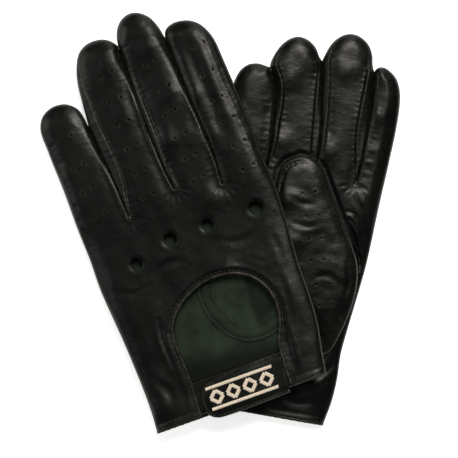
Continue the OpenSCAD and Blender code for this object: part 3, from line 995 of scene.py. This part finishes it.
def make_hem(side, back, palm):
    x0, x1 = palm.edge[0][0] + 0.5, palm.edge[-1][0] - 0.5
    slit = back.opening[-1][0], back.opening[0][0]
    lines = []
    for s, a, b in ((back, slit[0] - 0.9, x0), (palm, x0, x1), (back, x1, slit[1] + 0.9)):
        x = np.arange(a, b, math.copysign(1.0, b - a))
        lines.append(on_face(s, np.column_stack([x, np.full(len(x), 0.5)]), -0.5) - (0, 0.5, 0))
    path = resample(np.vstack(lines), 1.0)
    run = run_of(path)
    sizes = 1 + 0.06 * np.sin(1.7 * run + 2 * np.sin(run / 5))
    section = circle(10, 0.78, 1.0, 0.3)
    roll = sweep(path, section, sizes, up=(0, -1, 0))
    # Painted highlight, partly wear: the hem roll's upper side is lightened
    wear_and_highlight = np.tile(np.clip(section[:, 1], 0, 1), len(path)) * 0.8
    solid(side, "hem_roll", roll, TRIM, "wrist_binding", "hand", wear_and_highlight)
    rows = []
    start, end = x0 + 2.5, x1 - 2.5
    for s, a, b in ((back, start, slit[0] - 3), (back, slit[1] + 3, end), (palm, start, end)):
        x = np.arange(a, b, 1.0)
        flat = np.column_stack([x, np.full(len(x), 3.0)])
        rows.append(stitches(on_face(s, flat, 0.05), turn=s.turn))
    solid(side, "hem_stitches", joined(rows), THREAD, "wrist_stitching", "hand")


def make_inside_seam(side, palm):
    """The thumb's seam allowance, which shows through the opening on the back."""
    line = spline(THUMB_SEAM_INSIDE, 1.0)
    path = on_face(palm, line, -LEATHER - 0.15)
    run = run_of(path)
    sizes = 1 + 0.12 * np.sin(run / 2.3) * np.sin(run / 5.1)
    verts, faces = sweep(path, SEAM_FLAP, sizes)
    # Painted shade: the flap's own shading and the suede's
    painted_shade = np.maximum(np.tile(FLAP_PAINTED_SHADE, len(path)), suede_painted_shade(verts[:, :2]))
    piece(side, "thumb_seam_allowance", (verts, faces), [SUEDE], None, "hand", painted_shade=painted_shade)


# ---- flat parts

def rounded(x0, x1, y0, y1, r, step=0.8):
    """A rectangle with rounded corners."""
    corners = [(x1 - r, y1 - r, 0), (x0 + r, y1 - r, 90), (x0 + r, y0 + r, 180), (x1 - r, y0 + r, 270)]
    points = []
    for x, y, turn in corners:
        for a in np.radians(turn + np.linspace(0, 90, 7)):
            points.append((x + r * math.cos(a), y + r * math.sin(a)))
    points.append(points[0])
    return resample(np.array(points), step)[:-1]


def level(p):
    return np.zeros(len(p))


def plate(loop, z0, z1, round_edge, pitch, bump=level, lift=level):
    """A closed flat part with rounded edges, and bumps on its upper face."""
    border = np.vstack([loop, loop[:1]])
    flat, faces = tessellate(loop, (), (), pitch, [(border, (0.25, 0.7))])
    d = nearest(flat, border)[0]
    half = (z1 - z0) / 2 * np.sqrt(1 - (1 - np.clip(d / round_edge, 0, 1)) ** 2)
    middle = (z0 + z1) / 2 + lift(flat)
    top = middle + half + bump(flat) * smooth(d, 0, 1)
    verts = np.vstack([np.column_stack([flat, top]), np.column_stack([flat, middle - half])])
    return verts, np.vstack([faces, faces[:, ::-1] + len(flat)])


# The strap's edge from its sewn end round its free end and back, and its seam's distance inside
STRAP_EDGE = [
    (33.8, 20.3), (20, 20.2), (8, 19.6), (-6, 18.6), (-13.6, 17), (-18, 13.6), (-19.8, 8.6), (-19.6, 2.6),
    (-17.6, -1.8), (-13.4, -4.2), (-6, -4.8), (8, -4.7), (20, -4.4), (31.2, -4),
]
STRAP_SEAM = 1.8


def strap_edge(side, step):
    """The strap's edge. The right glove's strap is folded in at the hem."""
    edge = spline(STRAP_EDGE, step)
    if side == "right":
        edge[:, 1] = STRAP_EDGE[0][1] - (STRAP_EDGE[0][1] - edge[:, 1]) * 0.84
    return edge


def strap_loop(side, inset):
    """The strap's outline, that far inside its edge."""
    edge = strap_edge(side, 0.9)
    edge = edge + normals_of(edge) * inset
    return np.vstack([edge, resample(np.array([edge[-1], edge[0]]), 0.9)[1:-1]])


def strap_dip(p):
    """The strap runs down behind the opening's edge at its root."""
    return -1.75 * smooth(p[:, 0], 6, 30.2)


def strap_bump(side, p):
    """The strap's padding, its stitched channel and its fine creases."""
    far = nearest(p, strap_edge(side, 1.0))[0]
    out = 0.16 * smooth(far, 2, 5) - 0.5 * bell((far - STRAP_SEAM) / 0.5)
    out += 0.22 * bell((far - 0.8) / 0.6)
    return out + 0.1 * ripples(p, 7, 5, 12.3) + 0.04 * ripples(p, 2, 3, 5.5)


LINING_BOTTOM, STRAP_BOTTOM, STRAP_TOP = 7.5, 8.0, 8.8
# From the sewn end of the strap to the part that opens
STRAP_BEND = [(31.2, 8, 7.2), (26.2, 8, 8.4)]


def make_strap(side):
    start, end = place(side, STRAP_BEND)
    bump = lambda p: strap_bump(side, p)
    upper = plate(strap_loop(side, 0), STRAP_BOTTOM, STRAP_TOP, 0.45, 1.1, bump, strap_dip)
    # Painted highlight, partly wear: a light line along the strap's raised rim
    wear_and_highlight = bell((nearest(upper[0][:, :2], strap_edge(side, 1.0))[0] - 0.8) / 0.55)
    obj = solid(side, "strap_leather", upper, BLACK, "strap", wear_and_highlight=wear_and_highlight)
    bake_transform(obj)
    backing = plate(strap_loop(side, 0.6), LINING_BOTTOM, STRAP_BOTTOM, 0.2, 1.5, lift=strap_dip)
    obj = solid(side, "strap_backing", backing, CUT, "strap_lining")
    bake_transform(obj)
    foot = plate(rounded(30.6, 42.3, 0.6, 20.2, 1), 6.1, 7.1, 0.4, 1.5)
    solid(side, "strap_foot", foot, BLACK, "strap_root", "hand")
    seam = strap_edge(side, 0.8)
    seam = seam + normals_of(seam) * STRAP_SEAM
    seam = seam[seam[:, 0] < 25]
    path = np.column_stack([seam, STRAP_TOP - 0.05 + bump(seam) + strap_dip(seam)])
    sewn = stitches(path, 2.8, 2.0, 0.2)
    solid(side, "strap_stitches", sewn, THREAD, "strap_stitching", "strap")


def satin(side, a, b, width, pitch=0.44, r=0.27):
    """Satin stitch from a to b: arched threads laid side by side across the line."""
    a, b = np.array(a, float), np.array(b, float)
    along = (b - a) / length_of(b - a)
    across = np.array([-along[1], along[0]])
    t = np.linspace(-1, 1, 6)
    parts = []
    for i, s in enumerate(np.arange(pitch / 2, length_of(b - a), pitch)):
        reach = width / 2 * (1 + 0.07 * math.sin(i * 2.4))
        flat = a + along * s + across * (t * reach)[:, None] + along * (t * 0.12)[:, None]
        z = STRAP_TOP + strap_bump(side, flat) + strap_dip(flat) + 0.3 * (1 - t**4) - 0.12
        parts.append(sweep(np.column_stack([flat, z]), circle(6), np.full(6, r)))
    return parts


# Middle, size and count of the strap's motif
EMBLEM_AT = (5.2, 7.6)
EMBLEM_SIZE = (41.0, 14.0)
DIAMONDS = 4


def make_emblem(side):
    """A row of diamonds between two bars."""
    x, y = EMBLEM_AT
    half, high = EMBLEM_SIZE[0] / 2, EMBLEM_SIZE[1] / 2 - 0.8
    parts = []
    for turn in (-1, 1):
        parts += satin(side, (x - half, y + turn * high), (x + half, y + turn * high), 1.6)
    pitch = EMBLEM_SIZE[0] / DIAMONDS
    wide, tall = pitch / 2 - 1.3, high - 2.4
    for i in range(DIAMONDS):
        cx = x - half + (i + 0.5) * pitch
        corners = [(cx - wide, y), (cx, y - tall), (cx + wide, y), (cx, y + tall)]
        for a, b in zip(corners, corners[1:] + corners[:1]):
            parts += satin(side, a, b, 1.9)
    solid(side, "strap_motif", joined(parts), CREAM, "strap_emblem", "strap")


def make_fastening(side):
    """The flap under the strap's free end, and the two tapes that hold the strap shut."""
    rise = lambda p: smooth(-p[:, 0], 18, 34)
    crease = lambda p: 0.1 * ripples(p, 6, 6, 3.3)
    flap = plate(rounded(-37.5, 8, 0.6, 20.6, 3), 5.4, 6.2, 0.4, 1.5, crease, rise)
    solid(side, "fastening_flap", flap, BLACK, "fastening_tab", "hand")
    pile = lambda p: 0.1 + 0.16 * ripples(p, 0.7, 0.7, 8.8)
    pad = rounded(-16.5, 5, 1.6, 17.4, 6)
    solid(side, "loop_pad", plate(pad, 6.2, 6.65, 0.3, 0.7, pile), TAPE, "loop_tape", "hand")
    solid(side, "hook_pad", plate(pad, 7.05, 7.5, 0.3, 1.2), TAPE, "hook_tape", "strap")


# ---- thumb

# As CREASES and PUFFS, for the thumb
THUMB_CREASES = [
    ([(44, 47), (38, 52), (28, 52)], 1.6, 0.4), ([(52, 60), (44, 63), (34, 61)], 1.8, 0.3),
    ([(30, 83), (38, 86), (47, 82)], 1.8, 0.28), ([(12, 113), (21, 112), (29, 115)], 1.6, 0.26),
    ([(8, 128), (16, 125), (24, 126)], 1.5, 0.22), ([(50, 72), (51, 84), (48, 96)], 1.4, 0.35),
]
THUMB_PUFFS = [
    (8, 126.5, 6, 0.8), (15, 102, 8, 1.0), (37.5, 64, 8, 0.9), (26, 118, 7, 0.5), (42, 92, 8, 0.6),
]


def thumb_holes():
    """The middles of the thumb's perforations."""
    return [(x + t * PAIR_GAP / 2, y + t) for x, y in THUMB_ROWS for t in (-1, 1)]


def thumb_relief(p, loop, outward):
    """Middle height of the thumb, how far its face stands from there, and its lightening for wear and
    painted highlight.
    """
    y = p[:, 1]
    d, run = nearest(p, loop)
    rise = smooth(y, 40, 78)
    middle = -1.0 - 2.7 * rise
    crown = (2.3 + 1.05 * rise) if outward else (-0.4 - middle)
    h = crown * np.sqrt(1 - (1 - np.clip(d / (11 if outward else 6), 0, 1)) ** 2.4)
    # Edge lightened: partly wear, partly painted highlight
    wear_and_highlight = 0.5 * np.exp(-d / 1.2)
    if outward:
        far = to_nearest(p, thumb_holes())
        h += 0.1 * bell((far - RIM_R) / 0.35)
        # Perforation rims lightened: partly wear, partly painted highlight
        wear_and_highlight = np.maximum(wear_and_highlight, 0.5 * bell((far - RIM_R) / 0.3))
        add = 0.3 * ripples(p, 20, 24, 6.1) + 0.16 * ripples(p, 8, 5, 2.2) + 0.06 * ripples(p, 3, 3, 7.7)
        tip = smooth(y, 124, 140) * (1 - smooth(p[:, 0], 5, 17))
        add += 0.7 * tip * bell((d - 1.5) / 0.6) - (0.08 + 0.9 * tip) * bell((d - 2.9) / 0.6) - 0.2
        add += (0.04 + 0.1 * tip) * np.exp(-np.abs(d - 2.6) / 2) * np.sin(2 * run + np.sin(run / 4))
        add += creased(p, drawn(THUMB_CREASES)) + swollen(p, THUMB_PUFFS)
        h += add * smooth(d, 0.3, 3)
        # Painted highlight, partly wear: a bright crescent along the thumb's tip and a lighter line along
        # its edge
        wear_and_highlight = np.maximum(wear_and_highlight, (0.25 + 0.75 * tip) * bell((d - 1.6) / 0.5))
    return middle, h, wear_and_highlight


def make_thumb(side):
    loop = spline(THUMB_EDGE, 1.0, closed=True)
    border = np.vstack([loop, loop[:1]])
    start, end = place(side, THUMB_BEND)
    for face, outward in (("back", True), ("front", False)):
        holes = [ring(*q, PERFORATION_R, 8) for q in thumb_holes()] if outward else []
        rows = [(border, (0.4, 1.0, 1.9, 2.5, 3.1))] + [(h, (RIM,)) for h in holes]
        flat, faces = tessellate(loop, holes, (), PITCH, rows)
        middle, h, wear_and_highlight = thumb_relief(flat, border, outward)
        verts = np.column_stack([flat, middle + (-h if outward else h)])
        faces = faces[:, ::-1] if outward else faces
        verts, faces, tags = shell(verts, faces, vertex_normals(verts, faces), THUMB_LEATHER)
        obj = piece(side, f"thumb_{face}_leather", (verts, faces), SHELL,
                    f"thumb_{face}", None, tags, np.r_[wear_and_highlight, wear_and_highlight])
        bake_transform(obj)


# ---- camera, floor and light

# The camera looks straight down: the width of its view at the leather's height, where it aims,
# and its height
FIELD = 0.267
VIEWED_AT = 0.015
AIM = (0.0032, -0.0038)
CAMERA_UP = 2.0
SENSOR = 36
FLOOR_Z = -0.0004
SIDE_LIGHTS = {"far_side": (0.3, 1.6, 0.75), "left_side": (-1.6, 0.2, 0.7), "near_side": (0.5, -1.5, 0.7)}


def make_stage():
    camera = bpy.data.cameras.new("camera")
    camera.sensor_width = SENSOR
    camera.lens = SENSOR * (CAMERA_UP - VIEWED_AT) / FIELD
    obj = put("camera", camera)
    obj.location = (*AIM, CAMERA_UP)
    bpy.context.scene.camera = obj
    floor = bpy.data.meshes.new("floor")
    corners = [(-3, -3), (3, -3), (3, 3), (-3, 3)]
    floor.from_pydata([(x, y, FLOOR_Z) for x, y in corners], [], [(0, 1, 2, 3)])
    paper = Finish("floor_paper", Roughness=0.9, Emission_Strength=0.66)
    paper.shader.inputs["Emission Color"].default_value = (1, 1, 1, 1)
    tone = paper.mix(paper.noise(3), (250, 250, 250), (246, 246, 246))
    floor.materials.append(paper.done(tone))
    put("floor", floor)
    soft_light("key", (0.28, 1.18, 2.5), 0.9, 54, (1, 0.95, 0.88))
    soft_light("top_left", (-0.75, 0.35, 2.4), 1.3, 3.2, (0.9, 1, 0.86))
    for name, at in SIDE_LIGHTS.items():
        soft_light(name, at, 1.0, 7.5, (0.96, 1, 0.93))
    world = bpy.data.worlds.new("world")
    world.use_nodes = True
    sky = world.node_tree.nodes["Background"].inputs
    sky["Color"].default_value = (1, 1, 1, 1)
    sky["Strength"].default_value = 0.08
    bpy.context.scene.world = world
    bpy.context.scene.view_settings.view_transform = "Standard"


def soft_light(name, at, size, power, colour):
    """A square light that faces the gloves."""
    light = bpy.data.lights.new(name, "AREA")
    light.color = colour
    light.size = size
    light.energy = power
    obj = put(name, light)
    obj.location = at
    obj.rotation_euler = (-Vector(at)).to_track_quat("-Z", "Y").to_euler()


make_stage()
for side in ("left", "right"):
    sheets = make_hand(side)
    make_opening_trim(side, sheets["back"])
    make_hem(side, sheets["back"], sheets["palm"])
    make_inside_seam(side, sheets["palm"])
    make_fastening(side)
    make_strap(side)
    make_emblem(side)
    make_thumb(side)
